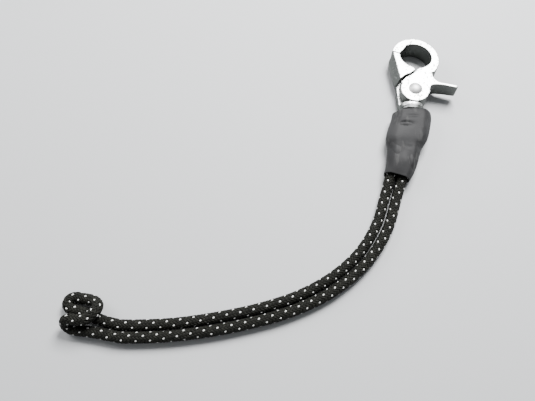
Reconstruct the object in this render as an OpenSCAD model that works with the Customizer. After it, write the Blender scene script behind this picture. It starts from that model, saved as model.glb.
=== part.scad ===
// Lanyard: a trigger snap on a swivel, with a doubled braided cord held in a
// shrunk sleeve.  The snap lies on its back with the trigger to +X and the
// ring to +Y.  Units are millimetres and Z is up.

/* [Snap casting] */
// Mean outside diameter of the snap's ring
ring_od = 21.8; // [20.6:0.2:23]
// Mean diameter of the hole in the ring
ring_hole = 13.9; // [12.5:0.1:14.8]
// Thickness of the whole casting
cast_t = 9.4; // [8.8:0.1:11]
// How far the left limb's side swells out at mid-height
limb_swell = 2; // [0:0.1:2.2]
// Gap between the two halves where one slides over the other
lap_gap = 0.1; // [0.05:0.05:0.3]
// Radius of the round plate that turns on the rivet
hub_r = 6.6; // [6:0.1:6.7]

/* [Trigger] */
// Distance from the rivet to the tip of the trigger
trigger_reach = 19.4; // [14:0.2:24]
// Thickness of the trigger's blade
trigger_t = 1.3; // [0.8:0.1:1.6]

/* [Rivet and spring] */
// Diameter of the rivet's domed head
rivet_head_d = 6.1; // [5:0.1:8]
// Height of the rivet's dome
rivet_dome_h = 1.3; // [0.8:0.1:2]
// Diameter of the rivet's shank
rivet_d = 3; // [2.4:0.1:3.4]
// Clearance round the rivet's shank in the turning jaw
rivet_play = 0.05; // [0.02:0.01:0.1]
// Diameter of the spring wire
wire_d = 0.6; // [0.4:0.05:0.7]
// Number of coils in the spring
spring_turns = 2.5; // [1.5:0.5:3]

/* [Swivel] */
// Width of the collar at the foot of the casting
collar_w = 11; // [9.8:0.2:12]
// How far the collar narrows towards the sleeve
collar_taper = 0.6; // [0:0.1:0.9]
// Diameter of the swivel's stem
stem_d = 4; // [3:0.1:4.6]
// Clearance round the stem in its collar
stem_play = 0.05; // [0.02:0.01:0.1]
// Diameter of the upset end that keeps the stem in
stem_head_d = 6.2; // [5.2:0.1:6.6]
// Diameter of the bar that forms the eye
eye_bar_d = 2.4; // [1.8:0.1:2.6]

/* [Sleeve] */
// Wall of the shrunk sleeve
sleeve_wall = 0.5; // [0.3:0.1:0.6]
// Height of the sleeve over the swivel's eye
sleeve_h = 10.4; // [10:0.2:13]

/* [Cord] */
// Diameter of the braided cord
cord_d = 4.7; // [3.9:0.1:4.7]

/* [Hidden] */
$fn = 64;
eps = 0.01;

// The row's origin is below the middle of the snap and sleeve together.
origin_x = 4.5;
origin_y = -7.7;

mid_z = cast_t / 2;              // height of the swivel's axis
low_z = mid_z - lap_gap / 2;     // top of the lower half of the laps
up_z = mid_z + lap_gap / 2;      // underside of the upper half
axis_x = 0.4;                    // the swivel's axis, beside the rivet's
pivot = [1.6, 0];
ring_c = [1.8, 17.3];
hole_c = [2, 18.3];
ring_r = ring_od / 2;
hole_r = ring_hole / 2;
web_r = hub_r - 0.15;            // lower web, under the turning plate
clear_r = web_r + 0.25;          // full-height parts of the jaw stay outside
limb_a = -77.4;                      // direction of the limb's upper edge
lap_start = 164;                 // angle of the seam on top, round the ring
lap_end = 113;                   // angle at which the lower tongue ends
spring_r = 2.6;
pocket_r = spring_r + wire_d / 2 + 0.35;
pocket_h = 2.9;
leg_a = 180 + 360 * spring_turns; // where the spring's moving leg leaves
dome_r = (pow(rivet_head_d / 2, 2) + pow(rivet_dome_h, 2)) / (2 * rivet_dome_h);

collar_top = -6.9;
collar_end = -10.3;
lip_y = -7.9;                       // the collar tapers below this
bore_floor = -8.2;
shoulder_y = collar_end - 0.1;
eye_r = 4.9;                     // centre of the eye's bar, from its middle
eye_y = -17;
bar_y = -22.6;
bar_r = eye_bar_d / 2;

// ---- small helpers ----
module at_row() { translate([-origin_x, -origin_y, 0]) children(); }
module up_y(y, z) { translate([0, y, z]) rotate([-90, 0, 0]) children(); }
function unit(v) = v / norm(v);

// A wedge of the plane round c, from angle a to angle b.
module wedge(c, a, b, r) {
  translate(c) polygon([[0, 0],
    for (i = [0:4]) r * [cos(a + (b - a) * i / 4), sin(a + (b - a) * i / 4)]]);
}

// A slightly oval outline: mean radius r, longer by k along the turned axis.
module oval(c, r, k, turn, n) {
  translate(c) rotate(turn) polygon([for (i = [0:n - 1])
    [r * (1 + k) * cos(360 * i / n), r * (1 - k) * sin(360 * i / n)]]);
}

// ---- outlines of the casting ----
module ring_hole_shape() { oval(hole_c, hole_r, 0.079, -25, 80); }
module ring_band() {
  difference() {
    oval(ring_c, ring_r, 0.041, -40, 100);
    ring_hole_shape();
  }
}

// The fixed jaw: left limb and the blunt tooth below the hole.
module fixed_jaw_outline() {
  intersection() {
    ring_band();
    wedge(ring_c, lap_start, 232, 30);
  }
  difference() {
    polygon([[-8.4, 19.4], [-9.7, 18.4], [-9.92, 17], [-9.48, 15], [-8.43, 10.3],
             [-7, 3.9], [-6, 4.1],
             [-3.2, 7], [-0.5, 8.5], [1.75, 10.4], [0.6, 12.4], [-3.5, 15],
             [-5, 18]]);
    ring_hole_shape();
  }
}

// The left limb's side swells at mid-height: it leans in above and below that.
module limb_bevel() {
  foot = limb_swell * 0.5;
  translate([-8.3, 18.9, 0]) rotate([0, 0, limb_a]) {
    translate([0, 0, cast_t]) rotate([-atan(limb_swell / mid_z), 0, 0])
      translate([-4, -6, -mid_z]) cube([22, 6, cast_t]);
    translate([0, foot - limb_swell, 0]) rotate([atan(foot / mid_z), 0, 0])
      translate([-4, -6, -mid_z]) cube([22, 6, cast_t]);
  }
}

// Everything in the lower half only: web, spine and the lap's tongue.
module lower_outline() {
  translate(pivot) circle(r = web_r, $fn = 96);
  polygon([[-7, 8], [-6.2, 3.9], [-5.8, -1], [-5.3, -4.5],
           [-5, collar_top - eps], [4.4, collar_top - eps], [5, -5.2],
           [2, web_r - 0.1], [1.75, 10.4], [-1, 11], [-4, 9.5]]);
  intersection() {
    ring_band();
    wedge(ring_c, lap_end, lap_start + 2, 30);
  }
}

// The turning jaw seen from above, without its ring.
module plate_outline() {
  translate(pivot) circle(r = hub_r, $fn = 96);
  polygon([[-5.05, 2.9], [-2.8, 5.8], [0.1, 8], [2.6, 10.6], [3.9, 12.4],
           [10.4, 12.8], [9.5, 9.6], [9.6, 6], [9, 2.9], [8.1, 0.2], [4, -3]]);
}

module trigger_blade() {
  tip = pivot[0] + trigger_reach;
  difference() {
    polygon([[8, 10.2], [14.5, 10.2], [15, 3.95], [tip - 0.5, 2.95],
             [tip, 2.85 - trigger_t / 2], [tip - 0.5, 2.95 - trigger_t],
             [14.6, 4.05 - trigger_t], [11, 2.95], [9.2, 2.5], [8, 1]]);
    translate([14.6, 9.2]) circle(r = 5.2, $fn = 72);
  }
}

module jaw_ring_outline() {
  intersection() {
    ring_band();
    wedge(ring_c, -48, lap_end - 0.8, 30);
  }
}

// The upper tongue, with a straight inner edge.
module jaw_tongue_outline() {
  intersection() {
    union() {
      ring_band();
      polygon([[-5.3, 19.4], [-4.95, 19.9], [-1.9, 24.5], [-2.3, 25.3], [-6.3, 22]]);
    }
    wedge(ring_c, lap_end - 2, lap_start - 0.7, 30);
  }
}

// ---- sub-parts of the snap ----
module snap_body() color([0.78, 0.79, 0.8]) at_row() {
  difference() {
    union() {
      linear_extrude(cast_t) fixed_jaw_outline();
      linear_extrude(low_z) lower_outline();
      // collar: a round barrel with flats front and back, tapering below its lip
      for (s = [-1, 1]) translate([axis_x + s * (collar_w / 2 - mid_z), 0, 0]) {
        up_y(lip_y, mid_z) cylinder(r = mid_z, h = collar_top - lip_y);
        up_y(collar_end, mid_z)
          cylinder(r1 = mid_z - collar_taper, r2 = mid_z, h = lip_y - collar_end);
      }
      translate([axis_x - (collar_w / 2 - mid_z), 0, 0]) rotate([90, 0, 90])
        linear_extrude(collar_w - cast_t)
          polygon([[collar_end, collar_taper], [lip_y, 0], [collar_top, 0],
                   [collar_top, cast_t], [lip_y, cast_t],
                   [collar_end, cast_t - collar_taper]]);
    }
    limb_bevel();
    // stem bore and the seat for its upset end
    translate([axis_x, 0, 0]) {
      up_y(collar_end - 1, mid_z)
        cylinder(r = stem_d / 2 + stem_play, h = bore_floor - collar_end + 1.5);
      up_y(bore_floor, mid_z)
        cylinder(r = stem_head_d / 2 + 0.3, h = collar_top - bore_floor + eps);
    }
    // rivet bore with the countersink for its upset foot
    translate([pivot[0], pivot[1], -1]) cylinder(d = rivet_d, h = cast_t);
    translate([pivot[0], pivot[1], -eps])
      cylinder(r1 = rivet_d / 2 + 1.1, r2 = rivet_d / 2, h = 1.1 + eps);
    // hole for the spring's fixed leg
    translate([pivot[0] - spring_r, 0, low_z - 1.8])
      cylinder(r = wire_d / 2 + 0.12, h = 3, $fn = 24);
  }
}

module trigger_jaw() color([0.8, 0.81, 0.82]) at_row() {
  difference() {
    union() {
      // full height: ring, trigger and the shank beyond the web
      linear_extrude(cast_t) {
        jaw_ring_outline();
        difference() {
          union() {
            trigger_blade();
            intersection() {
              plate_outline();
              translate([2.8, 0]) square([20, 20]);
            }
          }
          translate(pivot) circle(r = clear_r, $fn = 96);
          ring_hole_shape();
        }
      }
      // upper half only: plate over the web, tongue over the lap
      translate([0, 0, up_z]) linear_extrude(cast_t - up_z) {
        difference() {
          plate_outline();
          ring_hole_shape();
        }
        jaw_tongue_outline();
      }
    }
    // the blade's underside rises towards its tip
    translate([0, 8.8, 0]) rotate([90, 0, 0]) linear_extrude(12)
      polygon([[10, -1], [10, 1.1], [26, 3.1], [26, -1]]);
    translate([pivot[0], pivot[1], -1])
      cylinder(r = rivet_d / 2 + rivet_play, h = cast_t + 2);
    // pocket for the spring, with a recess as wide as its moving leg's travel
    translate([pivot[0], pivot[1], up_z - eps])
      cylinder(r = pocket_r, h = pocket_h + eps, $fn = 48);
    translate([0, 0, up_z + pocket_h - 1.2]) linear_extrude(1.2)
      wedge(pivot, leg_a - 10, leg_a + 40, pocket_r + 1.7);
  }
}

module pivot_rivet() color([0.7, 0.71, 0.72]) at_row() translate([pivot[0], pivot[1], 0]) {
  cylinder(r1 = rivet_d / 2 + 1.05, r2 = rivet_d / 2, h = 1.05);
  cylinder(d = rivet_d, h = cast_t + 0.06);
  // domed head
  translate([0, 0, cast_t + 0.05]) rotate_extrude($fn = 64) {
    polygon([[0, 0], [rivet_head_d / 2, 0],
      for (i = [0:8]) let (a = i * asin(rivet_head_d / 2 / dome_r) / 8)
        [dome_r * sin(asin(rivet_head_d / 2 / dome_r) - a),
         dome_r * cos(asin(rivet_head_d / 2 / dome_r) - a) - dome_r + rivet_dome_h]]);
  }
}

// ---- swept pieces ----
// One ring of a tube: middle p, half-width a across, half-height b.
function ring_at(p, t, a, b, n, side) =
  let (s = side == undef ? unit(cross(t, [0, 0, 1])) : side, u = cross(s, t))
  [for (k = [0:n - 1]) p + a * cos(360 * k / n) * s + b * sin(360 * k / n) * u];

function tangent(q, i) = unit(q[min(i + 1, len(q) - 1)] - q[max(i - 1, 0)]);

module tube(q, ab, n, side) {
  m = len(q);
  pts = [for (i = [0:m - 1])
    each ring_at(q[i], tangent(q, i), ab[i][0], ab[i][1], n, side)];
  polyhedron(pts, concat(
    [[for (k = [0:n - 1]) k]],
    [for (i = [0:m - 2], k = [0:n - 1])
      each [[i * n + k, (i + 1) * n + k, i * n + (k + 1) % n],
            [i * n + (k + 1) % n, (i + 1) * n + k, (i + 1) * n + (k + 1) % n]]],
    [[for (k = [n - 1:-1:0]) (m - 1) * n + k]]));
}

// Torsion spring: coils round the rivet, one leg down, one leg out.
spring_n = 14;
spring_z = up_z + 0.2 + wire_d / 2;
spring_path = concat(
  [[pivot[0] - spring_r, 0, low_z - 1.5], [pivot[0] - spring_r, -0.02, spring_z - 0.35]],
  [for (i = [1:floor(spring_turns * spring_n)]) let (a = 180 + 360 * i / spring_n)
    [pivot[0] + spring_r * cos(a), spring_r * sin(a),
     spring_z + i * (pocket_h - wire_d - 0.4) / (spring_turns * spring_n)]],
  [[pivot[0] + (spring_r + 0.5) * cos(leg_a + 7), (spring_r + 0.5) * sin(leg_a + 7),
    spring_z + pocket_h - wire_d - 0.4],
   [pivot[0] + (pocket_r + 1.2) * cos(leg_a + 4), (pocket_r + 1.2) * sin(leg_a + 4),
    spring_z + pocket_h - wire_d - 0.4]]);

// A tube whose rings keep one reference, for wire that also runs upright.
module wire(q, r, n) {
  m = len(q);
  pts = [for (i = [0:m - 1]) let (t = tangent(q, i),
      o = unit([q[i][0] - pivot[0], q[i][1] - pivot[1], 0]),
      s = unit(o - (o * t) * t), u = cross(t, s))
    for (k = [0:n - 1]) q[i] + r * cos(360 * k / n) * s + r * sin(360 * k / n) * u];
  polyhedron(pts, concat(
    [[for (k = [n - 1:-1:0]) k]],
    [for (i = [0:m - 2], k = [0:n - 1])
      each [[i * n + k, i * n + (k + 1) % n, (i + 1) * n + k],
            [i * n + (k + 1) % n, (i + 1) * n + (k + 1) % n, (i + 1) * n + k]]],
    [[for (k = [0:n - 1]) (m - 1) * n + k]]));
}

module trigger_spring() color([0.6, 0.6, 0.62]) at_row() wire(spring_path, wire_d / 2, 8);

module swivel_eye() color([0.72, 0.73, 0.75]) at_row() translate([axis_x, 0, 0]) {
  // stem with its upset end, and the shoulder that meets the collar
  up_y(shoulder_y - 0.2, mid_z) cylinder(d = stem_d, h = bore_floor - shoulder_y + 0.4);
  up_y(bore_floor + 0.1, mid_z) cylinder(d = stem_head_d, h = 1.1);
  up_y(shoulder_y - 1.2, mid_z) cylinder(r = 3.6, h = 1.2);
  up_y(shoulder_y - 2, mid_z) cylinder(r1 = 1.6, r2 = 2.6, h = 1);
  // eye: half ring, two arms and a straight bar
  translate([0, eye_y, mid_z]) rotate_extrude(angle = 180, $fn = 72)
    translate([eye_r, 0]) circle(r = bar_r, $fn = 32);
  for (s = [-1, 1]) {
    translate([s * eye_r, 0, 0]) up_y(bar_y, mid_z) cylinder(r = bar_r, h = eye_y - bar_y + eps, $fn = 32);
    translate([s * eye_r, bar_y, mid_z]) sphere(r = bar_r, $fn = 32);
  }
  translate([-eye_r, bar_y, mid_z]) rotate([0, 90, 0]) cylinder(r = bar_r, h = 2 * eye_r, $fn = 32);
}

// Sleeve stations: y, middle x, half-width, height, foot height.
sleeve_st = [
  [-10.7, 0.4, 8.8, sleeve_h - 0.5, 0.2], [-13, 0.4, 9, sleeve_h, 0.1],
  [-18, -0.5, 9.2, sleeve_h, 0], [-23, -1.6, 9.2, sleeve_h, 0],
  [-26, -2.5, 8.6, sleeve_h - 0.1, 0], [-28, -3.1, 7.8, sleeve_h - 0.4, 0],
  [-31, -3.2, 7, sleeve_h - 0.8, 0], [-35, -3.9, 6.8, sleeve_h - 0.9, 0],
  [-39, -4.7, 6.4, sleeve_h - 1.2, 0], [-42, -5.6, 5.8, sleeve_h - 2.2, 0.1],
  [-43.6, -6.3, 5.5, sleeve_h - 3, 0.2]];
sleeve_n = 28;
function se(c, e) = sign(c) * pow(abs(c), 2 / e);
function sleeve_ring(st, w) = [for (k = [0:sleeve_n - 1]) let (a = 360 * k / sleeve_n)
  [st[1] + (st[2] - w) * se(cos(a), 2.5), st[0],
   st[4] + st[3] / 2 + (st[3] / 2 - w) * se(sin(a), 2.5)]];

// Point numbers on the sleeve's outer face (o) and inner face (v).
function o(i, k) = i * sleeve_n + k % sleeve_n;
function v(i, k) = (len(sleeve_st) + i) * sleeve_n + k % sleeve_n;

module shrink_sleeve() color([0.2, 0.2, 0.21]) at_row() {
  m = len(sleeve_st);
  n = sleeve_n;
  pts = concat([for (s = sleeve_st) each sleeve_ring(s, 0)],
               [for (s = sleeve_st) each sleeve_ring(s, sleeve_wall)]);
  polyhedron(pts, concat(
    [for (i = [0:m - 2], k = [0:n - 1]) each [
      [o(i, k), o(i + 1, k), o(i, k + 1)], [o(i, k + 1), o(i + 1, k), o(i + 1, k + 1)],
      [v(i, k), v(i, k + 1), v(i + 1, k)], [v(i, k + 1), v(i + 1, k + 1), v(i + 1, k)]]],
    [for (k = [0:n - 1]) each [
      [o(0, k), o(0, k + 1), v(0, k)], [v(0, k), o(0, k + 1), v(0, k + 1)],
      [o(m - 1, k), v(m - 1, k), o(m - 1, k + 1)],
      [v(m - 1, k), v(m - 1, k + 1), o(m - 1, k + 1)]]]));
}

// The cord's route, from inside the sleeve down the left leg, round the
// folded end and back up the right leg.
leg_z = 3.65;
cord_route = [
  [-5.15, -30, leg_z], [-5.15, -30.8, leg_z], [-5.6, -33, leg_z], [-6.05, -35, leg_z],
  [-7, -39, leg_z], [-8.2, -42, leg_z], [-8.9, -43.6, 3.7],
  [-10.1, -48.5, 2.8], [-11.3, -53.5, 2.4], [-13.7, -63.3, 2.4],
  [-17.5, -72.2, 2.4], [-22.7, -80.2, 2.4], [-29.6, -87.5, 2.4],
  [-37.2, -93.5, 2.4], [-45.9, -98.7, 2.4], [-54.9, -102.7, 2.4],
  [-64.3, -106.1, 2.4], [-73.9, -108.9, 2.4], [-83.6, -111.4, 2.4],
  [-93.7, -113.5, 2.4], [-103.5, -114.9, 2.4], [-113.7, -115.9, 2.4],
  [-118.2, -115.7, 2.4], [-123.2, -114.8, 2.4], [-127.1, -113.7, 2.4],
  [-130.5, -112.6, 2.4], [-133.4, -111.9, 2.4], [-136, -111.5, 2.4],
  [-137.9, -110.7, 2.4], [-138.7, -109, 2.4], [-137.9, -107.2, 2.4],
  [-135.6, -106.4, 2.4], [-132.7, -106.7, 2.6], [-129.4, -107.1, 3.2],
  [-126.8, -108, 4.3], [-125.2, -109.6, 5.6], [-125.1, -111.7, 6.8],
  [-126.1, -113.6, 7.4], [-127.9, -115.4, 7.3], [-130.5, -116, 7],
  [-133.1, -116.1, 6.8], [-135, -116.1, 6.6], [-136.7, -116.5, 5.8],
  [-137.3, -117.3, 4.5], [-136.8, -118.1, 3.3], [-135.3, -119, 2.6],
  [-133.2, -119.4, 2.4], [-129.7, -119.5, 2.4], [-124.7, -119.8, 2.4],
  [-118.7, -120.4, 2.4], [-113.4, -120.8, 2.4], [-102.9, -119.8, 2.4],
  [-92.8, -118.3, 2.4], [-82.5, -116.2, 2.4], [-72.6, -113.7, 2.4],
  [-62.8, -110.7, 2.4], [-53.1, -107.3, 2.4], [-43.7, -103, 2.4],
  [-34.4, -97.6, 2.4], [-26.3, -91.1, 2.4], [-18.9, -83.2, 2.4],
  [-13.2, -74.5, 2.4], [-9, -64.9, 2.4], [-6.4, -54.3, 2.4], [-5.1, -49, 2.8],
  [-3.7, -43.6, 3.7], [-2.95, -42, leg_z], [-2, -39, leg_z], [-1.15, -35, leg_z],
  [-0.75, -33, leg_z], [-0.3, -30.8, leg_z], [-0.3, -30, leg_z]];

module cord_loop() color([0.13, 0.13, 0.12]) at_row()
  tube(cord_route, [for (p = cord_route) [cord_d / 2, cord_d / 2]], 10);

// Each cord end: squeezed flat, through the eye, round its bar and back.
// Stations are y, z, half-height, half-width, sideways middle.
turn_b = 1.15;
turn_r = bar_r + 0.05 + turn_b;
roof_z = sleeve_h - sleeve_wall;    // the sleeve's inside, at its highest
turn_gap = 0.75;                    // from there down to the cord ends
function turn_path(s) = concat(
  [[-29.98, leg_z, cord_d / 2, cord_d / 2, -2.725 + s * 2.425],
   [-29.5, leg_z, cord_d / 2 - 0.05, cord_d / 2 - 0.05, -2.725 + s * 2.425],
   [-28.8, leg_z - 0.35, 2, 2.15, -2.2 + s * 2.3],
   [-27.3, leg_z - 0.9, 1.5, 2, -1.45 + s * 2.15],
   [-25, mid_z - turn_r, turn_b, 1.85, -0.45 + s * 1.95]],
  [for (a = [-90:30:90]) [bar_y + turn_r * cos(a), mid_z + turn_r * sin(a),
                          turn_b, 1.76, axis_x + s * 1.85]],
  [[-27.5, mid_z + turn_r + 0.1, turn_b, 1.75, -1.2 + s * 1.85],
   [-31, roof_z - 0.8 - turn_gap - 1.1, 1.1, 1.7, -2.5 + s * 1.8],
   [-35, roof_z - 0.9 - turn_gap - 1.05, 1.05, 1.7, -3.6 + s * 1.8],
   [-38, roof_z - 1.1 - turn_gap - 0.95, 0.95, 1.6, -4.3 + s * 1.7]]);

module cord_turn(s) {
  q = turn_path(s);
  tube([for (p = q) [p[4], p[0], p[1]]], [for (p = q) [p[3], p[2]]], 10, [-1, 0, 0]);
}

module cord_turn_left() color([0.13, 0.13, 0.12]) at_row() cord_turn(-1);
module cord_turn_right() color([0.13, 0.13, 0.12]) at_row() cord_turn(1);

snap_body();
trigger_jaw();
pivot_rivet();
trigger_spring();
swivel_eye();
shrink_sleeve();
cord_loop();
cord_turn_left();
cord_turn_right();
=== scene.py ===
"""Looks for the cord lanyard with a trigger snap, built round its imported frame."""

import math

import bpy
import numpy as np
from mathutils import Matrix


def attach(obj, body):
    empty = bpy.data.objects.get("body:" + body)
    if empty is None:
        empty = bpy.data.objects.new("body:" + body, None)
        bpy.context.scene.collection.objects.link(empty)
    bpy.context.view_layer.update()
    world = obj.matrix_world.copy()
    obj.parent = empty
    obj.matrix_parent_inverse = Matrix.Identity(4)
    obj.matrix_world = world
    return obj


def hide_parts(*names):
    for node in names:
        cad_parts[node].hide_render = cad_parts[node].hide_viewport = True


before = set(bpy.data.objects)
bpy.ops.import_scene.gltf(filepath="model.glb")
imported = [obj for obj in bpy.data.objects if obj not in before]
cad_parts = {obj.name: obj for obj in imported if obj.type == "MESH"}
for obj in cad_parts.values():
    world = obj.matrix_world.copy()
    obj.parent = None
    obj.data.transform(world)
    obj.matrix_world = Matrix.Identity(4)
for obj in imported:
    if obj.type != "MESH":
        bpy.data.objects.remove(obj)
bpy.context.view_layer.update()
MM = 0.001


# ---- camera, floor and lights ----
def add_camera():
    bpy.ops.object.camera_add(
        location=(-0.05185, -0.14205, 0.222),
        rotation=(math.radians(22.94), math.radians(1.6), math.radians(5.0)),
    )
    camera = bpy.context.object
    camera.data.lens = 36.87
    camera.data.sensor_width = 36
    camera.data.clip_start = 0.01
    bpy.context.scene.camera = camera


def add_light(name, place, target, size, watts):
    """A square soft box at place, aimed at target."""
    bpy.ops.object.light_add(type="AREA", location=place)
    light = bpy.context.object
    light.name = name
    light.data.size = size
    light.data.energy = watts
    aim = [t - p for t, p in zip(target, place)]
    yaw = math.atan2(aim[1], aim[0]) - math.pi / 2
    pitch = math.atan2(math.hypot(aim[0], aim[1]), -aim[2])
    light.rotation_euler = (pitch, 0, yaw)


# ---- material maths ----
# outputs of Texture Coordinate, by number
NORMAL, UV, OBJECT = 1, 2, 3
# outputs of Separate XYZ, by number
Y, Z = 1, 2


class Wire:
    """A value in a finish's node tree. Sums on it add Math nodes."""

    def __init__(self, finish, socket):
        self.finish = finish
        self.socket = socket

    def maths(self, operation, first, second):
        return self.finish.node("ShaderNodeMath", {"operation": operation}, {0: first, 1: second})

    def __add__(self, other):
        return self.maths("ADD", self, other)

    def __sub__(self, other):
        return self.maths("SUBTRACT", self, other)

    def __rsub__(self, other):
        return self.maths("SUBTRACT", other, self)

    def __mul__(self, other):
        return self.maths("MULTIPLY", self, other)

    __radd__ = __add__
    __rmul__ = __mul__

    def above(self, level, soft):
        """0 below level, 1 at level + soft."""
        return self.finish.node(
            "ShaderNodeMapRange", {"interpolation_type": "SMOOTHSTEP"},
            {0: self, 1: level, 2: level + soft, 3: 0.0, 4: 1.0})


class Finish:
    """One procedural material on a Principled shader."""

    def __init__(self, name):
        self.material = bpy.data.materials.new(name)
        self.material.use_nodes = True
        self.tree = self.material.node_tree
        self.shader = self.tree.nodes["Principled BSDF"]

    def put(self, socket, value):
        """Link a wire to the socket, or set a plain value on it."""
        if isinstance(value, Wire):
            self.tree.links.new(value.socket, socket)
        else:
            socket.default_value = value

    def node(self, kind, settings=(), inputs=(), out=0):
        """Any node: its settings, then its sockets' values or links."""
        made = self.tree.nodes.new(kind)
        for key, value in dict(settings).items():
            setattr(made, key, value)
        for key, value in dict(inputs).items():
            self.put(made.inputs[key], value)
        return Wire(self, made.outputs[out])

    def place(self, stretch=(1, 1, 1)):
        """Object coordinates, stretched."""
        return self.stretched(OBJECT, stretch)

    def stretched(self, coordinates, stretch):
        here = self.node("ShaderNodeTexCoord", out=coordinates)
        return self.node("ShaderNodeMapping", {}, {"Vector": here, "Scale": stretch})

    def noise(self, vector, scale, detail=3.0, rough=0.5):
        return self.node("ShaderNodeTexNoise", {}, {
            "Vector": vector, "Scale": scale, "Detail": detail, "Roughness": rough})

    def mix(self, share, first, second):
        """Colours first and second, mixed by share."""
        four = [(*c, 1) if isinstance(c, tuple) else c for c in (first, second)]
        return self.node("ShaderNodeMix", {"data_type": "RGBA"},
                         {0: share, 6: four[0], 7: four[1]}, out=2)

    def bump(self, height, depth, before=None):
        """A relief of the given depth in metres, over the one before."""
        sockets = {"Height": height, "Distance": depth, "Strength": 1.0}
        if before:
            sockets["Normal"] = before
        return self.node("ShaderNodeBump", {}, sockets)

    def surface(self, **sockets):
        """Set the shader's sockets and hand back the material."""
        for key, value in sockets.items():
            self.put(self.shader.inputs[key.replace("_", " ")], value)
        return self.material


# Along the snap, in metres: where painted shade starts on the collar, and where the painted
# shadow line at the sleeve's mouth starts.
COLLAR_SHADE_FROM, COLLAR_SHADE_FADE = -0.0010, 0.0007
MOUTH_SHADOW_FROM, MOUTH_SHADOW_FADE = -0.0020, 0.0003
# painted shadow: the black of the line at the sleeve's mouth
MOUTH_SHADOW = (0.02, 0.02, 0.02)
NICKED = (0.3, 0.31, 0.3)


def cast_nickel(name, tone):
    """Satin nickel on a cast surface, nicked and smoother on top, with painted light: bright
    colour on upward faces and painted shade on the sides.
    """
    f = Finish(name)
    at = f.place()
    normal = f.node("ShaderNodeTexCoord", out=NORMAL)
    facing = f.node("ShaderNodeSeparateXYZ", {}, {0: normal}, out=Z)
    # painted light: faces turned up take the bright nickel colour and the sides a painted shade;
    # the same mask also makes the top smoother
    top = facing.above(0.45, 0.42)
    cloud = f.noise(at, 160, 3)
    grain = f.noise(at, 2600, 4, 0.6)
    rub = f.noise(f.place((1, 6, 1)), 700, 2)
    nick = f.noise(at, 900, 1).above(0.66, 0.04)
    bright = tuple(tone * c for c in (0.98, 0.99, 1.0))
    soft = tuple(tone * 0.82 * c for c in (0.98, 1.0, 0.98))
    # painted shade: a dark copy of the nickel for the side walls
    side = tuple(tone * 0.14 * c for c in (0.94, 1.0, 0.95))
    colour = f.mix(cloud.above(0.38, 0.3), soft, bright)
    colour = f.mix(top, side, colour)
    colour = f.mix(nick * 0.55, colour, NICKED)
    # painted shade darkens the collar below its lip, and a painted black shadow line lies at the
    # sleeve's mouth
    along = f.node("ShaderNodeSeparateXYZ", {}, {0: at}, out=Y)
    # painted shade: the collar below its lip takes most of the dark side colour
    collar_shade = 1 - along.above(COLLAR_SHADE_FROM, COLLAR_SHADE_FADE)
    colour = f.mix(collar_shade * 0.75, colour, side)
    # painted shadow: a black line on the collar at the sleeve's mouth, its edge made ragged by
    # the grain noise
    mouth_shadow = 1 - (along + grain * 0.0003).above(MOUTH_SHADOW_FROM, MOUTH_SHADOW_FADE)
    colour = f.mix(mouth_shadow, colour, MOUTH_SHADOW)
    rough = 0.46 - top * 0.14 + cloud * 0.1 + rub * 0.08 + nick * 0.15
    relief = f.bump(grain + rub * 0.6, 0.00003)
    relief = f.bump(1 - nick, 0.00008, relief)
    return f.surface(Base_Color=colour, Metallic=1.0, Roughness=rough, Normal=relief)


def turned_steel(name, tone, streak):
    """Plain steel with fine turning or drawing marks."""
    f = Finish(name)
    at = f.place()
    mark = f.noise(f.place(streak), 900, 2)
    cloud = f.noise(at, 500, 2)
    colour = f.mix(cloud, tuple(tone * 0.75 * c for c in (1, 1, 0.98)),
                   tuple(tone * c for c in (1, 1, 1)))
    return f.surface(Base_Color=colour, Metallic=1.0, Roughness=0.44 + mark * 0.2,
                     Normal=f.bump(mark, 0.00002))


def shrunk_plastic():
    """Matt black heat-shrunk plastic with handling haze."""
    f = Finish("shrunk_plastic")
    at = f.place()
    haze = f.noise(at, 110, 3)
    skin = f.noise(at, 1500, 3, 0.6)
    scuff = f.noise(f.place((1, 0.35, 1)), 420, 3).above(0.56, 0.12)
    colour = f.mix(haze.above(0.35, 0.35), (0.021, 0.021, 0.022), (0.038, 0.038, 0.039))
    colour = f.mix(scuff * 0.5, colour, (0.07, 0.07, 0.069))
    rough = 0.52 + haze * 0.14 + scuff * 0.12
    return f.surface(Base_Color=colour, Roughness=rough, Specular_IOR_Level=0.16,
                     Normal=f.bump(skin + haze * 2, 0.00006))


def yarn(name, low, high, rough, shine):
    """Filament yarn: fine lines along each strand, on the strand's own UV map."""
    f = Finish(name)
    lines = f.noise(f.stretched(UV, (26, 1.2, 1)), 1.0, 2)
    wear = f.noise(f.stretched(UV, (1.5, 2.6, 1)), 1.0, 3)
    colour = f.mix(lines * 0.6 + wear.above(0.45, 0.3) * 0.5, low, high)
    return f.surface(Base_Color=colour, Roughness=rough, Specular_IOR_Level=shine,
                     Normal=f.bump(lines, 0.00008))


# ---- the braided cord ----
CORD_D = 4.7 * MM
YARNS = 12                     # yarns that turn each way
TRACERS = (0, 4, 8)            # the light ones among the left-handed
LAY = 3.52 * CORD_D            # one full turn of a yarn
STRAND_R = 1.94 * MM           # middle of the braid's wall
WEAVE = 0.2 * MM               # how far a yarn rises and dips
CRISP = 1.6                    # how squarely it changes over
STRAND_W = 0.43 * MM           # half a yarn's width
TRACER_W = 0.33 * MM           # half the width of a light yarn
STRAND_T = 0.21 * MM           # half its thickness
STRAND_SIDES = 6
TRACER_DIVE = 5.0              # how sharply a light yarn comes up and goes down
TRACER_SINK = 0.06 * MM        # how much deeper it lies while it is under
CORE_R = 1.68 * MM             # the core that the strands lie round
CORE_SIDES = 12
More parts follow.
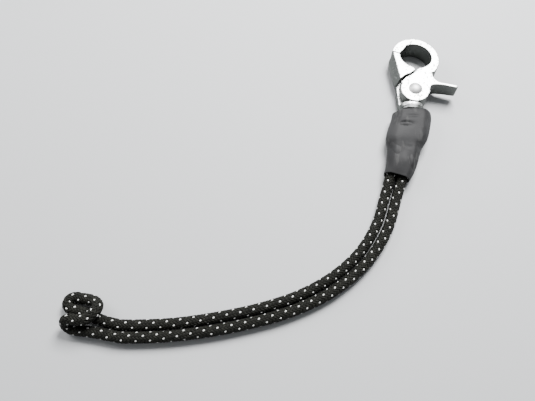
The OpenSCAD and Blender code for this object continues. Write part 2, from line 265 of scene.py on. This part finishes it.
# How far the braid is turned, in degrees, and moved on, in mm, along the cord.
TURN_AT = (0, 20, 45, 60, 80, 95, 115, 142, 160, 190, 230, 250, 275, 325, 345, 365, 402)
TURN = (-18, -18, -22, -30, -26, -46, -40, -89, -72, -62, -45, -23, -90, -90, -100, -120, -136)
SLIDE = (-2.5, -2.5, -1.7, -1.0, -0.5, -0.5, -0.2, 0.8, 0.4, 0, -0.6, -1.3, -0.5, -0.9, -1.2,
         -0.7, -1.2)
RING_STEP = 0.3 * MM           # between a strand's rings
CORE_STEP = 1.2 * MM           # between the core's rings

# From inside the sleeve down one leg, round the folded end and back up the other.
ROUTE = [
    (-0.00965, -0.0223, 0.00365), (-0.00965, -0.0231, 0.00365), (-0.0101, -0.0253, 0.00365),
    (-0.01055, -0.0273, 0.00365), (-0.0115, -0.0313, 0.00365), (-0.0127, -0.0343, 0.00365),
    (-0.0134, -0.0359, 0.0037), (-0.0146, -0.0408, 0.0028), (-0.0158, -0.0458, 0.0024),
    (-0.0182, -0.0556, 0.0024), (-0.022, -0.0645, 0.0024), (-0.0272, -0.0725, 0.0024),
    (-0.0341, -0.0798, 0.0024), (-0.0417, -0.0858, 0.0024), (-0.0504, -0.091, 0.0024),
    (-0.0594, -0.095, 0.0024), (-0.0688, -0.0984, 0.0024), (-0.0784, -0.1012, 0.0024),
    (-0.0881, -0.1037, 0.0024), (-0.0982, -0.1058, 0.0024), (-0.108, -0.1072, 0.0024),
    (-0.1182, -0.1082, 0.0024), (-0.1227, -0.108, 0.0024), (-0.1277, -0.1071, 0.0024),
    (-0.1316, -0.106, 0.0024), (-0.135, -0.1049, 0.0024), (-0.1379, -0.1042, 0.0024),
    (-0.1405, -0.1038, 0.0024), (-0.1424, -0.103, 0.0024), (-0.1432, -0.1013, 0.0024),
    (-0.1424, -0.0995, 0.0024), (-0.1401, -0.0987, 0.0024), (-0.1372, -0.099, 0.0026),
    (-0.1339, -0.0994, 0.0032), (-0.1313, -0.1003, 0.0043), (-0.1297, -0.1019, 0.0056),
    (-0.1296, -0.104, 0.0068), (-0.1306, -0.1059, 0.0074), (-0.1324, -0.1077, 0.0073),
    (-0.135, -0.1083, 0.007), (-0.1376, -0.1084, 0.0068), (-0.1395, -0.1084, 0.0066),
    (-0.1412, -0.1088, 0.0058), (-0.1418, -0.1096, 0.0045), (-0.1413, -0.1104, 0.0033),
    (-0.1398, -0.1113, 0.0026), (-0.1377, -0.1117, 0.0024), (-0.1342, -0.1118, 0.0024),
    (-0.1292, -0.1121, 0.0024), (-0.1232, -0.1127, 0.0024), (-0.1179, -0.1131, 0.0024),
    (-0.1074, -0.1121, 0.0024), (-0.0973, -0.1106, 0.0024), (-0.087, -0.1085, 0.0024),
    (-0.0771, -0.106, 0.0024), (-0.0673, -0.103, 0.0024), (-0.0576, -0.0996, 0.0024),
    (-0.0482, -0.0953, 0.0024), (-0.0389, -0.0899, 0.0024), (-0.0308, -0.0834, 0.0024),
    (-0.0234, -0.0755, 0.0024), (-0.0177, -0.0668, 0.0024), (-0.0135, -0.0572, 0.0024),
    (-0.0109, -0.0466, 0.0024), (-0.0096, -0.0413, 0.0028), (-0.0082, -0.0359, 0.0037),
    (-0.00745, -0.0343, 0.00365), (-0.0065, -0.0313, 0.00365), (-0.00565, -0.0273, 0.00365),
    (-0.00525, -0.0253, 0.00365), (-0.0048, -0.0231, 0.00365), (-0.0048, -0.0223, 0.00365),
]


def smooth_line(points, step):
    """A smooth line through the points, at even steps. Columns past z are carried along."""
    p = np.array(points, float)
    p = np.vstack([2 * p[0] - p[1], p, 2 * p[-1] - p[-2]])
    dense = []
    for a, b, c, d in zip(p[:-3], p[1:-2], p[2:-1], p[3:]):
        for t in np.linspace(0, 1, 24, endpoint=False):
            dense.append(0.5 * (2 * b + (c - a) * t + (2 * a - 5 * b + 4 * c - d) * t ** 2
                                + (3 * b - a - 3 * c + d) * t ** 3))
    dense = np.array(dense + [p[-2]])
    run = np.r_[0, np.cumsum(np.linalg.norm(np.diff(dense[:, :3], axis=0), axis=1))]
    even = np.linspace(0, run[-1], int(round(run[-1] / step)) + 1)
    return np.column_stack([np.interp(even, run, c) for c in dense.T]), even


def unit(v):
    """The same directions, at length one."""
    return v / np.linalg.norm(v, axis=-1, keepdims=True)


def frames(line, first_side):
    """Side and lift at each point, carried along without twist."""
    t = unit(np.gradient(line, axis=0))
    side = np.zeros_like(t)
    s = np.array(first_side, float)
    for i, ti in enumerate(t):
        s = s - ti * (s @ ti)
        s = s / np.linalg.norm(s)
        side[i] = s
    return side, np.cross(t, side)


def make_mesh(name, points, faces, uv, slots, slot_of=None):
    """A smooth-shaded piece with a UV place for each point."""
    mesh = bpy.data.meshes.new(name)
    mesh.from_pydata([tuple(p) for p in points], [], faces)
    layer = mesh.uv_layers.new(name="UVMap")
    corner = np.zeros(len(mesh.loops), dtype=np.int32)
    mesh.loops.foreach_get("vertex_index", corner)
    layer.data.foreach_set("uv", uv[corner].ravel())
    for material in slots:
        mesh.materials.append(material)
    if slot_of is not None:
        mesh.polygons.foreach_set("material_index", slot_of)
    mesh.polygons.foreach_set("use_smooth", [True] * len(mesh.polygons))
    mesh.update()
    piece = bpy.data.objects.new(name, mesh)
    bpy.context.collection.objects.link(piece)
    return piece


def tube_faces(rings, sides, start=0):
    """Side faces and two end caps of a tube."""
    faces = []
    for i in range(rings - 1):
        a = start + i * sides
        for k in range(sides):
            n = (k + 1) % sides
            faces.append((a + k, a + n, a + sides + n, a + sides + k))
    faces.append(tuple(start + k for k in reversed(range(sides))))
    faces.append(tuple(start + (rings - 1) * sides + k for k in range(sides)))
    return faces


def strand(line, run, axes, hand, number, width, wide, high, turn, slide, dive):
    """One yarn of the braid, as its rings of points and their UV places.
    It goes over two of the other hand's yarns and under two."""
    side, lift = axes
    around = (hand * (run + slide) / LAY + number / YARNS) * 2 * math.pi
    column = around * YARNS / math.pi
    lap = -hand * np.cos(2 * math.pi * (column - 0.5) / 4)
    lap = 2 * ((1 + lap) / 2) ** dive - 1
    rise = np.tanh(CRISP * lap) / math.tanh(CRISP)
    angle = around + turn
    radius = STRAND_R + WEAVE * rise - (dive - 1) * TRACER_SINK * (1 - rise)
    out = np.cos(angle)[:, None] * side + np.sin(angle)[:, None] * lift
    middle = (line + (radius * np.cos(angle) * wide)[:, None] * side
              + (radius * np.sin(angle) * high)[:, None] * lift)
    along = unit(np.gradient(middle, axis=0))
    across = unit(np.cross(along, out))
    out = np.cross(across, along)
    points, uv = [], []
    for k in range(STRAND_SIDES):
        a = 2 * math.pi * k / STRAND_SIDES
        points.append(middle + width * math.cos(a) * across + STRAND_T * math.sin(a) * out)
        edge = np.full(len(run), abs(k / STRAND_SIDES * 2 - 1))
        uv.append(np.column_stack([edge, run / CORD_D]))
    return np.stack(points, axis=1).reshape(-1, 3), np.stack(uv, axis=1).reshape(-1, 2)


def braid(name, line, run, strands, materials, width=STRAND_W, wide=1.0, high=1.0,
          turn=0.0, slide=0.0, dive=1.0):
    """Braid strands given as (hand, number, material slot) along a line."""
    axes = frames(line, (-1, 0, 0))
    points, uvs, faces, slot_of = [], [], [], []
    for hand, number, slot in strands:
        p, uv = strand(line, run, axes, hand, number, width, wide, high, turn, slide, dive)
        new = tube_faces(len(run), STRAND_SIDES, sum(len(q) for q in points))
        points.append(p)
        uvs.append(uv)
        faces += new
        slot_of += [slot] * len(new)
    return make_mesh(name, np.vstack(points), faces, np.vstack(uvs), materials, slot_of)


def add_cord():
    """The free doubled cord: its core and the strands of its braid."""
    dark = yarn("dark_yarn", (0.0015, 0.0016, 0.0012), (0.021, 0.0215, 0.017), 0.72, 0.18)
    light = yarn("tracer_yarn", (0.70, 0.71, 0.68), (0.92, 0.92, 0.90), 0.6, 0.4)
    line, run = smooth_line(ROUTE, RING_STEP)
    # the braid turns slowly about the cord as it lies, and more at the fold
    kit = {"turn": np.radians(np.interp(run / MM, TURN_AT, TURN)),
           "slide": np.interp(run / MM, TURN_AT, SLIDE) * MM}
    tracers = braid("cord_tracers", line, run, [(-1, n, 0) for n in TRACERS], [light],
                    width=TRACER_W, dive=TRACER_DIVE, **kit)
    left = braid("cord_left_strands", line, run,
                 [(-1, n, 0) for n in range(YARNS) if n not in TRACERS], [dark], **kit)
    right = braid("cord_right_strands", line, run, [(1, n, 0) for n in range(YARNS)],
                  [dark], **kit)
    few, few_run = smooth_line(ROUTE, CORE_STEP)
    side, lift = frames(few, (-1, 0, 0))
    angles = np.arange(CORE_SIDES) * 2 * math.pi / CORE_SIDES
    rings = few[:, None] + CORE_R * (np.cos(angles)[None, :, None] * side[:, None]
                                     + np.sin(angles)[None, :, None] * lift[:, None])
    uv = np.column_stack([np.tile(np.linspace(0, 1, CORE_SIDES), len(few)),
                          np.repeat(few_run / CORD_D, CORE_SIDES)])
    core = make_mesh("cord_core", rings.reshape(-1, 3), tube_faces(len(few), CORE_SIDES),
                     uv, [dark])
    for piece in (core, tracers, left, right):
        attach(piece, "tether")
    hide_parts("cord_loop")
    return dark, light


# The eye's bar that the cord ends turn round, and the radius of that turn, in mm.
BAR_Y, BAR_Z, BEND_R = -14.9, 4.7, 2.4
HALF_CORD = 2.35
TURNED_STEP = 0.4 * MM
# Each cord end inside the sleeve: y, z, half-height, half-width, middle x, offset.
TURNED = ([(-22.28, 3.65, 2.35, 2.35, -7.225, 2.425), (-21.1, 3.3, 2.0, 2.15, -6.7, 2.3),
           (-19.6, 2.75, 1.5, 2.0, -5.95, 2.15), (-17.3, 2.3, 1.15, 1.85, -4.95, 1.95)]
          + [(BAR_Y + BEND_R * math.cos(math.radians(a)),
              BAR_Z + BEND_R * math.sin(math.radians(a)),
              1.15, 1.76, -4.1, 1.85) for a in range(-90, 91, 30)]
          + [(-19.8, 7.2, 1.15, 1.75, -5.7, 1.85), (-23.3, 7.25, 1.1, 1.7, -7.0, 1.8),
             (-27.3, 7.2, 1.05, 1.7, -8.1, 1.8), (-30.3, 7.1, 0.95, 1.6, -8.8, 1.7)])


def add_turned_end(name, node, hand, dark, light):
    """One end of the cord, squeezed flat and turned round the eye's bar."""
    rows = [(mid + hand * offset, y, z, wide / HALF_CORD, high / HALF_CORD)
            for y, z, high, wide, mid, offset in TURNED]
    line, run = smooth_line(np.array(rows) * (MM, MM, MM, 1, 1), TURNED_STEP)
    strands = [(-1, n, n in TRACERS) for n in range(YARNS)]
    strands += [(1, n, 0) for n in range(YARNS)]
    end = braid(name, line[:, :3], run, strands, [dark, light],
                wide=line[:, 3], high=line[:, 4])
    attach(end, "tether")
    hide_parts(node)


# ---- working on a mesh ----
def pick(piece):
    """Only this piece is selected and active."""
    bpy.ops.object.select_all(action="DESELECT")
    bpy.context.view_layer.objects.active = piece
    piece.select_set(True)


def finish_with(piece, kind, **settings):
    """Add a modifier and apply it."""
    pick(piece)
    added = piece.modifiers.new(kind.lower(), kind)
    for key, value in settings.items():
        setattr(added, key, value)
    bpy.ops.object.modifier_apply(modifier=added.name)


def points_of(piece):
    """The piece's points and their normals, as rows."""
    flat = np.zeros(len(piece.data.vertices) * 3)
    piece.data.vertices.foreach_get("co", flat)
    normal = np.zeros_like(flat)
    piece.data.vertex_normals.foreach_get("vector", normal)
    return flat.reshape(-1, 3), normal.reshape(-1, 3)


def put_points(piece, points):
    piece.data.vertices.foreach_set("co", points.ravel())
    piece.data.update()


def press(piece, dents):
    """Push the skin in (or out, at a negative depth), each dent given as
    its middle, long and short half-size, turn in degrees and depth, in mm."""
    points, normal = points_of(piece)
    shift = np.zeros(len(points))
    for middle, long, short, turn, depth in dents:
        d = points / MM - middle
        c, s = math.cos(math.radians(turn)), math.sin(math.radians(turn))
        u, v = d[:, 0] * c + d[:, 1] * s, d[:, 1] * c - d[:, 0] * s
        shift += depth * MM * np.exp(-(u / long) ** 2 - (v / short) ** 2
                                     - (d[:, 2] / max(long, short, 1.0)) ** 2)
    put_points(piece, points - normal * shift[:, None])


# ---- the cast snap ----
VOXEL = 0.155 * MM              # grain of the remesh
WELD = 0.002 * MM
EDGE_ROUNDING = 9              # passes of smoothing
LIMB_ROUNDING = 120
LIMB_X, LIMB_Y = -8.5 * MM, 10.5 * MM   # the limb lies left of this and beyond this
RIM_Z = 6 * MM                 # knocks are above this
KNOCKS = 26


def cast_piece(node, name, body, finish, seed):
    """A CAD part with its edges rounded as a casting's are, dinged by use."""
    piece = bpy.data.objects.new(name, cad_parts[node].data.copy())
    bpy.context.collection.objects.link(piece)
    pick(piece)
    bpy.ops.object.mode_set(mode="EDIT")
    bpy.ops.mesh.select_all(action="SELECT")
    bpy.ops.mesh.remove_doubles(threshold=WELD)
    bpy.ops.object.mode_set(mode="OBJECT")
    finish_with(piece, "REMESH", mode="VOXEL", voxel_size=VOXEL, use_smooth_shade=True)
    finish_with(piece, "SMOOTH", factor=0.5, iterations=EDGE_ROUNDING)
    if node == "snap_body":
        # the swelling side of the left limb is one round, with no ridge
        points, normal = points_of(piece)
        side = ((points[:, 0] < LIMB_X) & (points[:, 1] > LIMB_Y)
                & (normal[:, 0] < -0.35))
        limb = piece.vertex_groups.new(name="limb")
        limb.add([int(k) for k in np.flatnonzero(side)], 1.0, "REPLACE")
        finish_with(piece, "SMOOTH", factor=0.5, iterations=LIMB_ROUNDING,
                    vertex_group="limb")
        piece.vertex_groups.clear()
    points, normal = points_of(piece)
    # small knocks, most of them on the upper edges
    rng = np.random.default_rng(seed)
    rim = np.flatnonzero((normal[:, 2] > 0.3) & (normal[:, 2] < 0.9)
                         & (points[:, 2] > RIM_Z))
    dents = [(points[k] / MM, rng.uniform(0.35, 0.9), rng.uniform(0.2, 0.4),
              rng.uniform(0, 180), rng.uniform(0.06, 0.16))
             for k in rng.choice(rim, KNOCKS)]
    press(piece, dents)
    piece.data.materials.clear()
    piece.data.materials.append(finish)
    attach(piece, body)
    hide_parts(node)


# ---- the shrunk sleeve ----
# Rings in mm: y, middle x, half-width, height, foot; then the lean of the edge across x.
SLEEVE = [(-2.9, -4.1, 8.5, 9.7, 0.3, 0.10), (-3.6, -4.1, 8.75, 10.0, 0.2, 0.10),
          (-5.3, -4.1, 8.95, 10.3, 0.1, 0.08), (-7.6, -4.4, 9.1, 10.4, 0.1, 0.05),
          (-10.3, -5.0, 9.2, 10.4, 0.05, 0.0), (-13.0, -5.6, 9.25, 10.4, 0.05, -0.05),
          (-15.6, -6.2, 9.15, 10.4, 0.05, -0.08), (-17.8, -6.9, 8.75, 10.35, 0.05, -0.10),
          (-19.4, -7.4, 8.1, 10.1, 0.05, -0.11), (-20.9, -7.65, 7.5, 9.8, 0.05, -0.12),
          (-23.3, -7.75, 7.0, 9.6, 0.05, -0.14), (-26.3, -8.2, 6.85, 9.5, 0.05, -0.16),
          (-29.3, -8.7, 6.6, 9.35, 0.05, -0.18), (-31.6, -9.2, 6.3, 9.0, 0.05, -0.20),
          (-33.6, -9.8, 5.95, 8.5, 0.1, -0.22), (-35.1, -10.5, 5.6, 7.8, 0.2, -0.23),
          (-35.6, -10.7, 5.5, 7.6, 0.25, -0.24)]
CORNER = 4.3                   # rounding of a ring's corners, mm
WALL = 0.55 * MM
CROWN, MOUTH_CROWN = 1.2, 1.0  # how far the upper edges drop, and further at the mouth, mm
UPPER_FROM, UPPER_HEIGHT = 4.5, 4   # the heights that this drop grows over, mm
MOUTH_FROM, MOUTH_LENGTH = -7.6, 4.7
# Creases and lumps: middle, long and short half-size, turn in degrees, depth, in mm.
SLEEVE_DENTS = [
    ((-4.2, -7.2, 10.2), 2.3, 0.42, 2, 0.75), ((-7.2, -9.6, 10.4), 1.9, 0.9, 4, -0.45),
    ((-7.5, -11.5, 10.4), 2.6, 0.85, 4, 1.0), ((-6.2, -22.6, 9.8), 0.7, 0.5, 20, 0.5),
    ((-12.9, -21.0, 6.0), 1.6, 3.2, 0, 0.5), ((-2.2, -20.6, 7.5), 1.6, 2.4, 30, 0.4),
    ((-10.9, -24.5, 8.8), 2.2, 2.6, 0, 0.5), ((-7.8, -28.5, 9.3), 1.9, 3.0, 12, -0.3),
    ((-4.6, -29.5, 8.0), 1.5, 4.2, 14, 0.6)]


def add_sleeve(finish):
    """The sleeve, drawn out ring by ring from its mouth to its tail."""
    y, x, wide, high, foot, _ = SLEEVE[0]
    bpy.ops.object.select_all(action="DESELECT")
    bpy.ops.mesh.primitive_plane_add(size=1, rotation=(math.pi / 2, 0, 0))
    sleeve = bpy.context.object
    sleeve.name = sleeve.data.name = "sleeve"
    sleeve.scale = (2 * wide * MM, high * MM, 1)
    sleeve.location = (x * MM, y * MM, (foot + high / 2) * MM)
    bpy.ops.object.transform_apply(location=True, rotation=True, scale=True)
    bpy.ops.object.mode_set(mode="EDIT")
    bpy.ops.mesh.select_all(action="SELECT")
    bpy.ops.mesh.bevel(offset=CORNER * MM, segments=8, affect="VERTICES", profile=0.5)
    bpy.ops.mesh.select_all(action="SELECT")
    bpy.ops.mesh.delete(type="ONLY_FACE")
    bpy.ops.mesh.select_all(action="SELECT")
    for (y0, x0, w0, h0, f0, _), (y1, x1, w1, h1, f1, _) in zip(SLEEVE[:-1], SLEEVE[1:]):
        step = ((x1 - x0) * MM, (y1 - y0) * MM, (f1 + h1 / 2 - f0 - h0 / 2) * MM)
        bpy.ops.mesh.extrude_edges_move(TRANSFORM_OT_translate={"value": step})
        bpy.ops.transform.resize(value=(w1 / w0, 1, h1 / h0),
                                 center_override=(x1 * MM, y1 * MM, (f1 + h1 / 2) * MM))
    bpy.ops.mesh.select_all(action="SELECT")
    bpy.ops.mesh.normals_make_consistent(inside=False)
    bpy.ops.object.mode_set(mode="OBJECT")
    # the cut ends slant, and the mouth's upper edge is rounder than the rest
    points, _ = points_of(sleeve)
    table = np.array(SLEEVE[::-1]) * MM
    lean = np.interp(points[:, 1], table[:, 0], table[:, 5]) / MM
    middle = np.interp(points[:, 1], table[:, 0], table[:, 1])
    wide = np.interp(points[:, 1], table[:, 0], table[:, 2])
    mouth = np.clip((points[:, 1] / MM - MOUTH_FROM) / MOUTH_LENGTH, 0, 1)
    across = points[:, 0] - middle
    points[:, 1] += lean * across
    above = np.clip((points[:, 2] / MM - UPPER_FROM) / UPPER_HEIGHT, 0, 1)
    drop = (CROWN + MOUTH_CROWN * mouth) * MM
    points[:, 2] -= drop * above * (across / wide) ** 2
    put_points(sleeve, points)
    finish_with(sleeve, "SOLIDIFY", thickness=WALL, offset=-1)
    finish_with(sleeve, "SUBSURF", levels=2, render_levels=2)
    press(sleeve, SLEEVE_DENTS)
    pick(sleeve)
    bpy.ops.object.shade_smooth()
    sleeve.data.materials.append(finish)
    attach(sleeve, "tether")
    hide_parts("shrink_sleeve")


# ---- the scene ----
add_camera()
dark_yarn, tracer_yarn = add_cord()
add_turned_end("cord_end_left", "cord_turn_left", -1, dark_yarn, tracer_yarn)
add_turned_end("cord_end_right", "cord_turn_right", 1, dark_yarn, tracer_yarn)

add_light("overhead_softbox", (0.07, 0.27, 0.42), (-0.04, -0.03, 0), 0.24, 9.0)
add_light("left_softbox", (-0.42, 0.16, 0.34), (-0.05, -0.03, 0), 0.30, 2.0)
world = bpy.data.worlds.new("studio")
bpy.context.scene.world = world
world.use_nodes = True
background = world.node_tree.nodes["Background"]
background.inputs["Color"].default_value = (0.8, 0.82, 0.84, 1)
background.inputs["Strength"].default_value = 0.3

# the floor lies a hair under the casting's flat back, so the two don't flicker
bpy.ops.mesh.primitive_plane_add(size=4, location=(0, 0, -0.2 * MM))
floor = bpy.context.object
floor.name = "floor"
pale = Finish("pale_floor").surface(Base_Color=(0.55, 0.56, 0.57, 1), Roughness=0.7)
floor.data.materials.append(pale)

nickel = cast_nickel("cast_nickel", 0.9)
cast_piece("snap_body", "fixed_jaw_casting", "snap", nickel, 3)
cast_piece("trigger_jaw", "trigger_casting", "jaw", nickel, 8)
add_sleeve(shrunk_plastic())
small_steel = {"pivot_rivet": turned_steel("rivet_steel", 0.8, (1, 1, 1)),
               "trigger_spring": turned_steel("spring_steel", 0.5, (1, 1, 4)),
               "swivel_eye": turned_steel("swivel_nickel", 0.75, (1, 4, 1))}
for node, finish in small_steel.items():
    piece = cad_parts[node]
    piece.data.materials.clear()
    piece.data.materials.append(finish)
